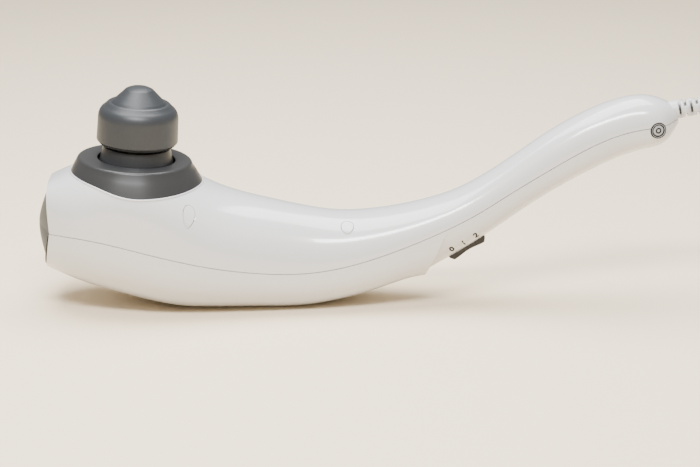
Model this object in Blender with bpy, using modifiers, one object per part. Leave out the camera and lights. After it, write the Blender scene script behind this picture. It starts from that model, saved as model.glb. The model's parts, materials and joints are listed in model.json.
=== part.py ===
"""Handheld wand massager: a two-half shell with a humped front, a percussion drive under a
push-on massage head, a slide switch under the handle, and a mains lead at the tail.

Units are millimetres until a mesh is made, which turns them into metres. +X runs from the
front cap to the tail, +Z is up, and the object lies on the flat of its belly at z = 0."""

import math

import bmesh
import bpy
import numpy as np
from mathutils import Matrix, Vector

MM = 0.001
GAP = 0.3  # left between pieces that touch

# The shell, front to tail. Each station is a cross-section: its crown, seam and keel points
# in the side view (x, z), half of its width, and how square its upper and lower halves are
# (2 is an ellipse).
BODY_STATIONS = [
    (-195.7, 82.5, -193.7, 53.2, -198.4, 24.5, 28.5, 2.7, 2.1),
    (-182.0, 88.4, -182.0, 54.3, -182.0, 18.0, 37.8, 2.8, 2.1),
    (-160.0, 92.4, -160.0, 52.3, -160.0, 10.8, 44.5, 4.0, 2.1),
    (-136.0, 91.0, -136.0, 46.8, -136.0, 4.2, 46.5, 4.4, 2.1),
    (-112.0, 85.5, -112.0, 40.0, -112.0, -0.8, 44.4, 3.1, 2.1),
    (-89.0, 76.4, -89.0, 34.3, -89.0, -1.6, 41.0, 2.4, 2.1),
    (-59.0, 68.3, -59.0, 29.4, -59.0, -1.6, 36.0, 2.2, 2.1),
    (-29.0, 62.2, -29.0, 28.5, -29.0, -0.6, 32.0, 2.1, 2.1),
    (-5.0, 60.0, 1.0, 33.4, 7.0, 7.6, 28.4, 2.1, 2.2),
    (20.8, 62.5, 28.0, 41.8, 29.0, 15.4, 25.0, 2.1, 2.4),
    (50.4, 69.5, 58.2, 54.0, 43.2, 18.3, 21.1, 2.1, 2.5),
]
HANDLE_STATIONS = [
    (51.0, 69.7, 58.8, 54.3, 45.0, 21.0, 21.0, 2.1, 1.7),
    (66.8, 75.9, 76.0, 63.0, 77.5, 41.8, 19.3, 2.1, 2.1),
    (84.8, 86.4, 93.0, 73.6, 101.7, 58.9, 18.0, 2.1, 2.1),
    (118.6, 110.4, 128.0, 95.6, 136.5, 81.5, 17.4, 2.1, 2.1),
    (151.6, 129.0, 159.0, 112.3, 165.8, 96.5, 17.8, 2.1, 2.1),
    (178.6, 136.4, 182.0, 118.5, 185.2, 102.6, 17.3, 2.1, 2.1),
    (194.0, 133.6, 196.0, 120.6, 198.0, 109.3, 13.4, 2.1, 2.1),
    (202.3, 129.5, 203.0, 122.5, 203.7, 118.5, 5.5, 2.0, 2.0),
]
WALL = 2.4
SPANS = 2  # cross-sections to each gap between stations
ARC = 10  # facets around half a cross-section
CAP_BULGE = 6.9

# The drive. Its frame stands on the plunger's axis, at the top face of the collar.
HEAD_AXIS = (-139.9, 0.0, 95.5)
HEAD_LEAN = 4.0  # degrees towards the handle
SHAFT_DROP = 54.0  # motor shaft below the collar's top face
THROW = 2.0  # eccentric: half of the stroke
BUSH_BORE = 8.3
BEARING_RADIUS = 11.0
COLLAR_HOLE = 24.7
COLLAR_SEAT = 32.4
MOUNT_SPOTS = [(side * 25.0, hand * 28.5) for side in (-1, 1) for hand in (-1, 1)]
POST_TOP = -56.0
PLATE_TOP = -26.0
PLATE_UNDER = -29.0
MOTOR_RADIUS = 18.0
MOTOR_FRONT = 12.3
MOTOR_BACK = 64.0
MOTOR_SCREW_CIRCLE = 12.5

# The case screws stand upright, each under a round plug.
CASE_SCREWS = [(-104.5, -37.2), (-104.5, 37.2), (-5.7, -17.2), (-5.7, 17.2)]
PLUG_RADIUS = 3.85
SCREW_SHELF = 6.0  # above the seam

# The slide switch lies on the keel of the handle.
SWITCH_SPOT = (71.2, 0.0, 37.7)
HANDLE_SLOPE = 32.3
SWITCH_TRAVEL = 5.5

# The tail: cord clamp, strain relief and mains lead.
TAIL = (203.0, 0.0, 127.3)
TAIL_RISE = 10.0
RELIEF_LENGTH = 42.0
CORD_RADIUS = 3.0
COIL_CENTRE = (352.0, 0.0)
COIL_RADIUS = 36.0  # middle of the turns: three side by side, two high
CORD_ROUTE = [
    (177.4, 0.0, 122.8),
    (203.0, 0.0, 127.3),
    (224.2, 0.0, 131.0),
    (244.4, 0.0, 134.6),
    (262.0, 0.0, 137.5),
    (278.8, -0.5, 136.2),
    (292.0, -1.5, 127.5),
    (299.5, -3.0, 112.0),
    (301.0, -5.0, 92.0),
    (300.0, -8.0, 70.0),
    (297.8, -12.5, 48.0),
    (297.2, -18.5, 28.0),
    (300.5, -25.0, 13.5),
    (307.5, -31.0, 5.4),
    (315.5, -36.2, 3.3),
    (322.6, -39.9, 3.3),
    (329.5, -42.9, 3.3),
]
PLUG_SPOT = (352.0, 36.0, 19.3)

COLOURS = {  # colour, roughness, metallic
    "white_plastic": ((0.82, 0.81, 0.80), 0.22, 0.0),
    "grey_plastic": ((0.13, 0.13, 0.14), 0.38, 0.0),
    "cap_plastic": ((0.17, 0.17, 0.16), 0.15, 0.0),
    "dark_plastic": ((0.05, 0.045, 0.04), 0.45, 0.0),
    "black_nylon": ((0.02, 0.02, 0.02), 0.5, 0.0),
    "steel": ((0.55, 0.55, 0.55), 0.3, 1.0),
    "zinc": ((0.5, 0.5, 0.48), 0.4, 1.0),
    "bronze": ((0.55, 0.35, 0.15), 0.35, 1.0),
    "brass": ((0.7, 0.52, 0.2), 0.3, 1.0),
    "copper": ((0.72, 0.3, 0.14), 0.35, 1.0),
    "ferrite": ((0.03, 0.03, 0.035), 0.6, 0.0),
    "carbon": ((0.015, 0.015, 0.015), 0.7, 0.0),
    "rubber": ((0.02, 0.02, 0.02), 0.8, 0.0),
    "silver_foil": ((0.75, 0.75, 0.75), 0.3, 1.0),
    "board": ((0.03, 0.16, 0.07), 0.5, 0.0),
    "red_wire": ((0.6, 0.03, 0.03), 0.45, 0.0),
    "black_wire": ((0.02, 0.02, 0.02), 0.45, 0.0),
    "brown_wire": ((0.18, 0.07, 0.03), 0.45, 0.0),
    "blue_wire": ((0.03, 0.1, 0.45), 0.45, 0.0),
    "white_vinyl": ((0.8, 0.8, 0.79), 0.4, 0.0),
}


def at(x=0.0, y=0.0, z=0.0):
    return Matrix.Translation(Vector((x, y, z)) * MM)


def turn(degrees, axis):
    return Matrix.Rotation(math.radians(degrees), 4, axis)


WORLD = Matrix.Identity(4)
DRIVE = at(*HEAD_AXIS) @ turn(HEAD_LEAN, "Y")
MOTOR = DRIVE @ at(z=-SHAFT_DROP) @ turn(90, "Y")  # local +Z runs back along the shaft
ECCENTRIC = MOTOR @ at(y=THROW)
SWITCH = at(*SWITCH_SPOT) @ turn(-HANDLE_SLOPE, "Y") @ turn(180, "X")  # local +Z faces down
TAIL_FRAME = at(*TAIL) @ turn(90 - TAIL_RISE, "Y")  # local +Z runs out along the cord
BOARD = at(106.0, 0.0, 80.0) @ turn(-HANDLE_SLOPE, "Y")
BADGE = at(189.4, -16.3, 117.6) @ turn(14, "Z") @ turn(90, "X")
PLUG = at(*PLUG_SPOT)


def clear_scene():
    for thing in list(bpy.data.objects):
        bpy.data.objects.remove(thing, do_unlink=True)


def new_collection(name):
    group = bpy.data.collections.new(name)
    bpy.context.scene.collection.children.link(group)
    return group


def surface(name):
    """The shared material of that name."""
    found = bpy.data.materials.get(name)
    if found:
        return found
    colour, roughness, metallic = COLOURS[name]
    made = bpy.data.materials.new(name)
    made.use_nodes = True
    made.diffuse_color = (*colour, 1.0)
    shader = made.node_tree.nodes["Principled BSDF"]
    shader.inputs["Base Color"].default_value = (*colour, 1.0)
    shader.inputs["Roughness"].default_value = roughness
    shader.inputs["Metallic"].default_value = metallic
    return made


def put(name, mesh, look, frame):
    """An object of this mesh: a sub-part, or a cutter when it has no look."""
    thing = bpy.data.objects.new(name, mesh)
    if look:
        mesh.materials.append(surface(look))
        PARTS.objects.link(thing)
    else:
        CUTTERS.objects.link(thing)
        thing.hide_render = True
        thing.display_type = "WIRE"
    thing.matrix_world = frame
    return thing


def mesh_of(name, shape):
    mesh = bpy.data.meshes.new(name)
    shape.to_mesh(mesh)
    shape.free()
    mesh.shade_smooth()
    mesh.set_sharp_from_angle(angle=math.radians(35))
    return mesh


def box(name, look, low, high, frame=WORLD, bevel=0.0):
    """A block between two corners, with its edges bevelled if asked."""
    low, high = Vector(low) * MM, Vector(high) * MM
    shape = bmesh.new()
    bmesh.ops.create_cube(shape, size=1.0)
    sizes = Matrix.Diagonal((*(high - low), 1.0))
    bmesh.ops.transform(shape, matrix=Matrix.Translation((low + high) / 2) @ sizes, verts=shape.verts)
    thing = put(name, mesh_of(name, shape), look, frame)
    if bevel:
        rounding = thing.modifiers.new("rounded edges", "BEVEL")
        rounding.width = bevel * MM
        rounding.segments = 1
    return thing


def rod(name, look, radius, low, high, frame=WORLD, facets=16):
    """A cylinder about the frame's Z axis."""
    shape = bmesh.new()
    bmesh.ops.create_cone(
        shape,
        cap_ends=True,
        segments=facets,
        radius1=radius * MM,
        radius2=radius * MM,
        depth=(high - low) * MM,
        matrix=at(z=(low + high) / 2),
    )
    return put(name, mesh_of(name, shape), look, frame)


def turned(name, look, profile, frame=WORLD, facets=24, ring=False):
    """A profile (radius, height) turned about the frame's Z axis. It runs from the top centre
    down the outside; a ring's profile closes on itself."""
    points = [(r * MM, 0.0, z * MM) for r, z in profile]
    edges = [(i, i + 1) for i in range(len(points) - 1)]
    if ring:
        edges.append((len(points) - 1, 0))
    mesh = bpy.data.meshes.new(name)
    mesh.from_pydata(points, edges, [])
    thing = put(name, mesh, look, frame)
    screw = thing.modifiers.new("turned", "SCREW")
    screw.axis = "Z"
    screw.angle = math.tau
    screw.steps = screw.render_steps = facets
    screw.use_merge_vertices = True
    screw.merge_threshold = 0.00001
    screw.use_smooth_shade = True
    return thing


def tube(name, look, bore, radius, low, high, frame=WORLD, facets=20):
    """A plain ring between two radii."""
    profile = [(bore, high), (radius, high), (radius, low), (bore, low)]
    return turned(name, look, profile, frame, facets, ring=True)


def lofted(name, look, rings):
    """A skin through closed rings of points, with a face over each end."""
    shape = bmesh.new()
    rows = [[shape.verts.new(Vector(point) * MM) for point in ring] for ring in rings]
    for row, after in zip(rows, rows[1:]):
        for i in range(len(row)):
            j = (i + 1) % len(row)
            shape.faces.new((row[i], row[j], after[j], after[i]))
    shape.faces.new(rows[0])
    shape.faces.new(rows[-1])
    bmesh.ops.recalc_face_normals(shape, faces=shape.faces)
    return put(name, mesh_of(name, shape), look, WORLD)


def wire(name, look, route, radius, facets=8):
    """A round lead along a list of points, with flat ends."""
    line = bpy.data.curves.new(name, "CURVE")
    line.dimensions = "3D"
    line.bevel_depth = radius * MM
    line.bevel_resolution = facets // 4
    line.use_fill_caps = True
    spline = line.splines.new("POLY")
    spline.points.add(len(route) - 1)
    for point, place in zip(spline.points, route):
        point.co = (*(Vector(place) * MM), 1.0)
    line.materials.append(surface(look))
    thing = bpy.data.objects.new(name, line)
    PARTS.objects.link(thing)
    return thing


def combine(target, tool, operation):
    step = target.modifiers.new(f"{operation.lower()} {tool.name}", "BOOLEAN")
    step.operation = operation
    step.object = tool


def cut(target, *tools):
    for tool in tools:
        combine(target, tool, "DIFFERENCE")


def join(target, *tools):
    for tool in tools:
        combine(target, tool, "UNION")


def keep_inside(target, tool):
    combine(target, tool, "INTERSECT")


# ---- the shell's form -------------------------------------------------------------------


def faired(stations, spans=SPANS):
    """The stations with smooth ones added between them."""
    rows = np.array(stations)
    along = rows[:, 2]
    slopes = np.gradient(rows, along, axis=0)
    found = []
    for i in range(len(rows) - 1):
        width = along[i + 1] - along[i]
        for t in np.arange(spans) / spans:
            start = (1 + 2 * t) * (1 - t) ** 2 * rows[i] + t * (1 - t) ** 2 * width * slopes[i]
            end = t * t * (3 - 2 * t) * rows[i + 1] - t * t * (1 - t) * width * slopes[i + 1]
            found.append(start + end)
    return found + [rows[-1]]


def shell_stations(spans=SPANS):
    return faired(BODY_STATIONS, spans) + faired(HANDLE_STATIONS, spans)


def section(station, inset=0.0, half=None, lift=0.0):
    """The closed outline of one cross-section, moved in from the surface by inset. A half
    outline is the upper (1) or lower (-1) one, with its flat side lifted off the seam."""
    crown, seam, keel = station[0:2], station[2:4], station[4:6]
    wide, upper, lower = station[6] - inset, station[7], station[8]
    if half:
        angles = [half * math.pi * i / ARC for i in range(ARC + 1)]
    else:
        angles = [math.pi * i / ARC for i in range(2 * ARC)]
    outline = []
    for angle in angles:
        tip, square = (crown, upper) if math.sin(angle) >= -1e-9 else (keel, lower)
        reach = math.dist(tip, seam)
        across = abs(math.cos(angle)) ** (2 / square)
        height = max(abs(math.sin(angle)), 0.0) ** (2 / square) * (reach - inset)
        height = max(height, lift)
        x, z = seam + (tip - seam) * height / reach
        outline.append((x, math.copysign(across, math.cos(angle)) * wide, z))
    return outline


def seam_height(x):
    """Height of the parting line between the two half shells."""
    rows = shell_stations()
    return float(np.interp(x, [row[2] for row in rows], [row[3] for row in rows]))


def whole_body(name, inset):
    """The shell's outside as one solid, for trimming pieces that end at its surface."""
    return lofted(name, None, [section(row, inset) for row in shell_stations()])


def cavity(name):
    """The hollow inside both half shells, open through the mouth."""
    rows = shell_stations()[:-1]
    rings = [section(row, WALL) for row in rows]
    mouth = [(x - 12, y, z) for x, y, z in rings[0]]
    return lofted(name, None, [mouth] + rings)


def tail_hole(name):
    return rod(name, None, 6.3, -17, 20, TAIL_FRAME, 16)


def badge_seat(name):
    return rod(name, None, 5.4, -1.8, 8, BADGE, 20)


def make_upper_shell():
    rings = [section(row, 0.0, 1, GAP / 2) for row in shell_stations()]
    shell = lofted("upper_shell", "white_plastic", rings)
    hollow = cavity("upper hollow")
    for n, (x, y) in enumerate(MOUNT_SPOTS):
        cut(hollow, rod(f"hold-down {n}", None, 4.5, PLATE_TOP + GAP, 0, DRIVE @ at(x, y), 12))
    for n, (x, y) in enumerate(CASE_SCREWS):
        cut(hollow, rod(f"screw tower {n}", None, 6.0, 0, 110, at(x, y), 16))
    cut(shell, hollow, rod("collar bore", None, COLLAR_SEAT + 0.4, -24, 12, DRIVE, 40))
    for n, (x, y) in enumerate(CASE_SCREWS):
        shelf = seam_height(x) + SCREW_SHELF
        cut(shell, rod(f"plug hole {n}", None, PLUG_RADIUS + GAP, shelf, 110, at(x, y), 20))
        cut(shell, rod(f"upper screw hole {n}", None, 1.9, 20, shelf + 1, at(x, y), 10))
    cut(shell, tail_hole("upper tail hole"), badge_seat("upper badge seat"))


def make_lower_shell():
    rings = [section(row, 0.0, -1, GAP / 2) for row in shell_stations()]
    shell = lofted("lower_shell", "white_plastic", rings)
    hollow = cavity("lower hollow")
    for n, (x, y) in enumerate(MOUNT_SPOTS):
        cut(hollow, rod(f"mount post {n}", None, 5.0, -110, POST_TOP, DRIVE @ at(x, y), 12))
    for n, (x, y) in enumerate(CASE_SCREWS):
        cut(hollow, rod(f"screw post {n}", None, 5.6, -5, 80, at(x, y), 16))
    for n, along in enumerate((-13.0, 13.0)):
        rib = box(f"board rib {n}", None, (along - 1, -12, -40), (along + 1, 12, -0.8 - GAP), BOARD)
        cut(hollow, rib)
    for hand in (-1, 1):
        cut(hollow, rod(f"clamp post {hand}", None, 3.0, 90, 118, at(181.0, hand * 8.5), 12))
    cut(shell, hollow, box("belly flat", None, (-150, -60, -20), (30, 60, 0)))
    for n, (x, y) in enumerate(CASE_SCREWS):
        seam = seam_height(x)
        cut(shell, rod(f"lower screw hole {n}", None, 1.9, seam - 12, seam + 5, at(x, y), 10))
    for hand in (-1, 1):
        cut(shell, rod(f"clamp hole {hand}", None, 1.5, 110, 122, at(181.0, hand * 8.5), 10))
    cut(shell, box("switch opening", None, (-12, -5.5, -7), (12, 5.5, 8), SWITCH))
    cut(shell, tail_hole("lower tail hole"), badge_seat("lower badge seat"))


def make_case_screws():
    trim = whole_body("plug trim", 0.0)
    for n, (x, y) in enumerate(CASE_SCREWS, 1):
        shelf = seam_height(x) + SCREW_SHELF
        head = shelf + GAP
        profile = [(0, head + 2), (3, head + 2), (3, head), (1.6, head), (1.6, shelf - 16), (0, shelf - 17)]
        turned(f"case_screw_{n}", "zinc", profile, at(x, y), 12)
        plug = rod(f"screw_plug_{n}", "white_plastic", PLUG_RADIUS, head + 2.3, 110, at(x, y), 20)
        keep_inside(plug, trim)


def make_front_cap():
    """A domed lens in the mouth, a thin shell with a rim that reaches back inside."""
    mouth = np.array(BODY_STATIONS[0])
    rim = np.array(section(mouth, WALL + 0.5)) + (0.8, 0.0, 0.0)
    centre = np.array((-196.4, 0.0, 53.6))
    rings = []
    for scale in (0.08, 0.25, 0.5, 0.75, 1.0):  # outside of the dome, from its middle to the rim
        rings.append(centre + (rim - centre) * scale - (CAP_BULGE * (1 - scale**1.5), 0.0, 0.0))
    rings.append(rim + (6.0, 0.0, 0.0))
    for scale in (0.9, 0.5, 0.12):  # inside of the dome
        depth = CAP_BULGE * (1 - scale**1.5) - 2.2 - 2.0 * (scale == 0.9)
        rings.append(centre + (rim - centre) * scale - (depth, 0.0, 0.0))
    lofted("front_cap", "cap_plastic", rings)


def make_collar():
    profile = [
        (COLLAR_HOLE, -1.0),
        (COLLAR_HOLE + 1.0, 0.0),
        (34.2, 0.0),
        (36.2, -0.9),
        (37.2, -2.6),
        (41.4, -10.0),
        (43.8, -16.0),
        (COLLAR_HOLE, -16.0),
    ]
    collar = turned("collar", "grey_plastic", profile, DRIVE, 40, ring=True)
    cut(collar, whole_body("collar trim", -GAP))
    join(collar, tube("collar spigot", None, COLLAR_HOLE, COLLAR_SEAT, -14, -2, DRIVE, 40))


def make_badge():
    tube("badge_ring", "dark_plastic", 3.6, 5.1, -1.5, 0.3, BADGE)
    rod("badge_disc", "silver_foil", 3.3, -1.5, 0.1, BADGE, 20)


# ---- the head and its plunger ------------------------------------------------------------


def make_massage_head():
    crown = [(5.5, 46.9), (8.2, 46.0), (10.4, 44.0), (18.0, 35.6)]
    shoulder = [
        (17.0 + 8.5 * math.sin(math.radians(a)), 25.6 + 10.0 * math.cos(math.radians(a)))
        for a in (14, 32, 52, 72, 90)
    ]
    skirt = [(25.8, 14.0), (24.9, 11.9), (22.8, 10.6)]
    socket = [(9.6, 10.6), (9.6, 25.0), (0, 25.0)]
    profile = [(0, 47.3)] + crown + shoulder + skirt + socket
    turned("massage_head", "grey_plastic", profile, DRIVE, 32)


def make_neck_sleeve():
    """The sleeve that rides in the collar, with the spigot that the head pushes onto."""
    outside = [(9.2, 24.0), (9.2, 20.6), (8.1, 20.6), (8.1, 18.4), (9.2, 18.4), (9.2, 10.2)]
    skirt = [(20.9, 10.2), (21.6, 6.0), (23.2, -1.0), (23.7, -3.0), (23.7, -11.0)]
    inside = [(21.6, -11.0), (21.6, -3.0), (19.6, 5.0), (2.4, 5.0), (2.4, 19.0), (4.6, 19.0)]
    profile = outside + skirt + inside + [(4.6, 24.0)]
    turned("neck_sleeve", "grey_plastic", profile, DRIVE, 28, ring=True)
    groove = [(8.4, 20.3), (9.1, 20.3), (9.4, 19.5), (9.1, 18.7), (8.4, 18.7)]
    turned("head_o_ring", "rubber", groove, DRIVE, 20, ring=True)
    top = [(0, 22.0), (4.2, 22.0), (4.2, 19.3), (2.0, 19.3), (2.0, -8.0), (0, -9.0)]
    turned("spigot_screw", "zinc", top, DRIVE, 12)


def make_plunger_yoke():
    """The stem in the guide bush, and the window that the bearing turns in."""
    yoke = rod("plunger_yoke", "black_nylon", BUSH_BORE - GAP, -35.5, 4.7, DRIVE, 20)
    drop = -SHAFT_DROP
    window = BEARING_RADIUS + 2 * THROW + 0.5
    slot = BEARING_RADIUS + THROW + 0.5
    frame = box("yoke frame", None, (-4.2, -slot - 4, drop - window - 5), (4.2, slot + 4, drop + window + 4.5), DRIVE)
    cut(frame, box("yoke window", None, (-9, -slot, drop - window), (9, slot, drop + window), DRIVE))
    join(yoke, frame)
    cut(yoke, rod("stem hole", None, 2.3, -12, 8, DRIVE, 12))


def make_guide_bush():
    bore = BUSH_BORE
    flange = PLATE_TOP + GAP
    profile = [(bore, -14), (11, -14), (11, flange + 2), (14, flange + 2), (14, flange), (11, flange)]
    turned("guide_bush", "bronze", profile + [(11, -31), (bore, -31)], DRIVE, 24, ring=True)


# ---- the drive ---------------------------------------------------------------------------


def make_drive_frame():
    """The bracket that carries the bush and the motor, on four legs."""
    frame = box("drive_frame", "zinc", (-30, -33.5, PLATE_UNDER), (30, 33.5, PLATE_TOP), DRIVE)
    join(frame, box("motor wall", None, (9, -22, -76), (12, 22, PLATE_UNDER + 1), DRIVE))
    for n, (x, y) in enumerate(MOUNT_SPOTS):
        join(frame, rod(f"leg {n}", None, 4.0, -52, PLATE_UNDER + 1, DRIVE @ at(x, y), 12))
        rod(f"rubber_mount_{n + 1}", "rubber", 4.8, POST_TOP + GAP, -52 - GAP, DRIVE @ at(x, y), 12)
    cut(frame, rod("bush hole", None, 11.3, -40, -20, DRIVE, 24))
    cut(frame, rod("shaft hole", None, 6.0, 5, 20, MOTOR, 16))
    for n, y in enumerate((-MOTOR_SCREW_CIRCLE, MOTOR_SCREW_CIRCLE), 1):
        spot = MOTOR @ at(y=y)
        cut(frame, turned(f"screw seat {n}", None, [(0, 13), (1.8, 13), (1.8, 11.2), (3.4, 8.5), (3.4, 8), (0, 8)], spot, 12))
        screw = [(0, 15.5), (1.4, 15.5), (1.4, 10.9), (2.4, 9.3), (0, 9.3)]
        turned(f"motor_screw_{n}", "zinc", screw, spot, 12)


def make_motor():
    back, front, wall = MOTOR_BACK, MOTOR_FRONT, 1.2
    can = [(MOTOR_RADIUS - wall, back), (MOTOR_RADIUS, back), (MOTOR_RADIUS, front + 1), (MOTOR_RADIUS - 1, front)]
    can += [(3.0, front), (3.0, front + wall), (MOTOR_RADIUS - wall, front + wall)]
    shell = turned("motor_can", "steel", can, MOTOR, 28, ring=True)
    for n, y in enumerate((-MOTOR_SCREW_CIRCLE, MOTOR_SCREW_CIRCLE)):
        cut(shell, rod(f"can thread {n}", None, 1.7, 8, 16, MOTOR @ at(y=y), 12))
    for n, hand in enumerate((-1, 1), 1):
        magnet = tube(f"motor_magnet_{n}", "ferrite", 13.7, 16.5, 19, 50, MOTOR, 28)
        keep_inside(magnet, box(f"magnet arc {n}", None, (hand * 12 - 7, -30, 0), (hand * 12 + 7, 30, 60), MOTOR))
    bell = turned(
        "motor_end_bell",
        "black_nylon",
        [(2.0, 69), (5, 69), (5, 66), (16.5, 66), (16.5, 61.5), (2.0, 61.5)],
        MOTOR,
        24,
        ring=True,
    )
    for n, hand in enumerate((-1, 1), 1):
        low, high = sorted((hand * 7.0, hand * 15.5))
        join(bell, box(f"brush holder {n}", None, (low, -4, 54.5), (high, 4, 62), MOTOR))
        low, high = sorted((hand * 4.9, hand * 17.0))
        cut(bell, box(f"brush channel {n}", None, (low, -2.3, 55.2), (high, 2.3, 59.8), MOTOR))
        low, high = sorted((hand * 4.9, hand * 13.5))
        box(f"motor_brush_{n}", "carbon", (low, -2.0, 55.5), (high, 2.0, 59.5), MOTOR)


def make_rotor():
    rod("motor_shaft", "steel", 1.6, -4.0, 71, MOTOR, 12)
    core = tube("rotor_core", "steel", 1.9, 12.9, 23, 47, MOTOR, 30)
    coils = tube("rotor_windings", "copper", 5.5, 11.6, 18, 22.6, MOTOR, 18)
    join(coils, tube("rear coil", None, 5.5, 11.6, 47.4, 52, MOTOR, 18))
    for n in range(5):
        spot = MOTOR @ turn(72 * n, "Z")
        cut(core, box(f"core slot {n}", None, (6.2, -1.6, 20), (15, 1.6, 50), spot))
        join(coils, box(f"coil side {n}", None, (6.5, -1.3, 20), (11.2, 1.3, 50), spot))
    tube("commutator", "copper", 1.9, 4.6, 53, 60.5, MOTOR, 18)


def make_eccentric():
    """The offset hub, and the counterweight behind it."""
    hub = rod("eccentric", "zinc", 4.0, -3.8, 5.5, ECCENTRIC, 18)
    weight = rod("counterweight", None, 13.0, 4.8, 8.3, MOTOR, 24)
    cut(weight, box("counterweight cut", None, (-20, 1.5, 0), (20, 20, 12), MOTOR))
    boss = rod("weight boss", None, 6.2, 4.8, 8.3, MOTOR, 18)
    join(hub, weight, boss)
    cut(hub, rod("hub bore", None, 1.9, -8, 12, MOTOR, 12))
    tube("bearing_inner_ring", "steel", 4.3, 6.1, -3.5, 3.5, ECCENTRIC, 20)
    cage = [(6.4, 1.2), (7.2, 2.2), (8.0, 2.2), (8.6, 1.2), (8.6, -1.2), (8.0, -2.2), (7.2, -2.2), (6.4, -1.2)]
    turned("bearing_balls", "steel", cage, ECCENTRIC, 20, ring=True)
    tube("bearing_outer_ring", "steel", 8.9, BEARING_RADIUS, -3.5, 3.5, ECCENTRIC, 24)


# ---- the switch and the electrics ----------------------------------------------------------


def make_switch():
    outline = [(-13.3, -2.2), (-13.3, 0.2), (-11.2, 2.9), (11.2, 2.9), (13.3, 0.2), (13.3, -2.2)]
    ends = [[(x, y, z) for x, z in outline] for y in (-6.6, 6.6)]
    bezel = lofted("switch_bezel", "dark_plastic", ends)
    bezel.matrix_world = SWITCH
    cut(bezel, whole_body("bezel trim", -GAP))
    join(bezel, box("bezel insert", None, (-11.6, -5.1, -3.6), (11.6, 5.1, 1.5), SWITCH))
    cut(bezel, box("knob slot", None, (-9.6, -3.1, -9), (9.6, 3.1, 9), SWITCH))
    knob = box("switch_knob", "grey_plastic", (-3.6, -2.7, -3.7), (3.6, 2.7, 2.3), SWITCH)
    for along in (-2.2, 0.0, 2.2):
        cut(knob, box(f"knob groove {along}", None, (along - 0.4, -4, 1.8), (along + 0.4, 4, 4), SWITCH))
    box("switch_body", "dark_plastic", (-10.5, -5.0, -11.5), (10.5, 5.0, -4.0), SWITCH)


def make_electrics():
    box("circuit_board", "board", (-20, -10, -0.8), (20, 10, 0.8), BOARD)
    rod("capacitor", "blue_wire", 4.0, -6, 6, BOARD @ at(8, 3, 5.2) @ turn(90, "Y"), 16)
    for hand, colour in ((1, "red"), (-1, "black")):
        route = [(-67.5, 7, 45), (-45, 7, 43), (-10, 6, 43), (20, 5, 49), (48, 5, 60), (72, 5, 69.5)]
        route.append((87.0, 5, 73.3))
        route = [(x, hand * y, z) for x, y, z in route]
        wire(f"motor_lead_{colour}", f"{colour}_wire", route, 0.9)
    for hand, colour in ((1, "brown"), (-1, "blue")):
        route = [(176.8, 1.5, 122.1), (168, 2.5, 119), (150, 4, 110), (132, 5, 99), (123.5, 5, 93.5)]
        route = [(x, hand * y, z) for x, y, z in route]
        wire(f"mains_lead_{colour}", f"{colour}_wire", route, 0.9)


# ---- the tail and the mains lead -----------------------------------------------------------


def make_cord_clamp():
    spot = at(181.0, 0, 0)
    clamp = box("cord_clamp", "black_nylon", (-3, -12, 118.3), (3, 12, 127.6), spot)
    cut(clamp, rod("clamp arch", None, CORD_RADIUS + GAP, -40, 0, TAIL_FRAME, 16))
    cut(clamp, box("clamp mouth", None, (-6, -3.3, 100), (6, 3.3, 122.6), spot))
    for n, hand in enumerate((-1, 1), 1):
        hole = at(181.0, hand * 8.5)
        cut(clamp, rod(f"clamp screw hole {n}", None, 1.5, 110, 135, hole, 10))
        screw = [(0, 129.3), (2.2, 129.3), (2.2, 127.9), (1.2, 127.9), (1.2, 112), (0, 111)]
        turned(f"clamp_screw_{n}", "zinc", screw, hole, 10)


def make_strain_relief():
    """A tapered sleeve, slotted crosswise in turn so that it bends."""
    bore = CORD_RADIUS + GAP
    outside = [(4.4, RELIEF_LENGTH), (5.9, 0), (5.9, -12.0), (7.2, -12.0), (7.2, -15.0)]
    profile = [(bore, RELIEF_LENGTH)] + outside + [(bore, -15.0)]
    relief = turned("strain_relief", "white_vinyl", profile, TAIL_FRAME, 16, ring=True)
    for n in range(10):
        along = 0.5 + 3.7 * n
        for hand in (-1, 1):
            low, high = sorted((hand * 2.2, hand * 9.0))
            spot = TAIL_FRAME @ turn(90 * ((n + 1) % 2), "Z")
            slot = box(f"slot {n} {hand}", None, (low, -9, along), (high, 9, along + 1.6), spot)
            cut(relief, slot)


def smooth_route(points, spans=2):
    """More points along the curve through a route's points."""
    rows = np.array(points)
    slopes = np.gradient(rows, axis=0)
    found = []
    for i in range(len(rows) - 1):
        for t in np.arange(spans) / spans:
            start = (1 + 2 * t) * (1 - t) ** 2 * rows[i] + t * (1 - t) ** 2 * slopes[i]
            end = t * t * (3 - 2 * t) * rows[i + 1] - t * t * (1 - t) * slopes[i + 1]
            found.append(tuple(start + end))
    return found + [tuple(rows[-1])]


def make_mains_lead():
    wire("mains_cord", "white_vinyl", smooth_route(CORD_ROUTE), CORD_RADIUS)
    low, high = 0.2, 12.0
    inner, outer = COIL_RADIUS - 9, COIL_RADIUS + 9
    bundle = [(inner + 1.5, high), (outer - 1.5, high), (outer, high - 1.5), (outer, low + 1.5)]
    bundle += [(outer - 1.5, low), (inner + 1.5, low), (inner, low + 1.5), (inner, high - 1.5)]
    turned("cord_coil", "white_vinyl", bundle, at(*COIL_CENTRE), 28, ring=True)


def make_mains_plug():
    plug = box("mains_plug", "white_vinyl", (-13, -11, -7), (15, 11, 7), PLUG, bevel=2.5)
    spot = PLUG @ turn(90, "Y")
    tail = turned("plug tail", None, [(0, 29), (3.6, 29), (5, 12), (0, 12)], spot, 16)
    join(plug, tail)
    for n, y in enumerate((-6.35, 6.35), 1):
        cut(plug, box(f"pin seat {n}", None, (-16, y - 1.05, -3.4), (-6, y + 1.05, 3.4), PLUG))
        box(f"plug_pin_{n}", "brass", (-30, y - 0.75, -3.1), (-6.3, y + 0.75, 3.1), PLUG)


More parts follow.
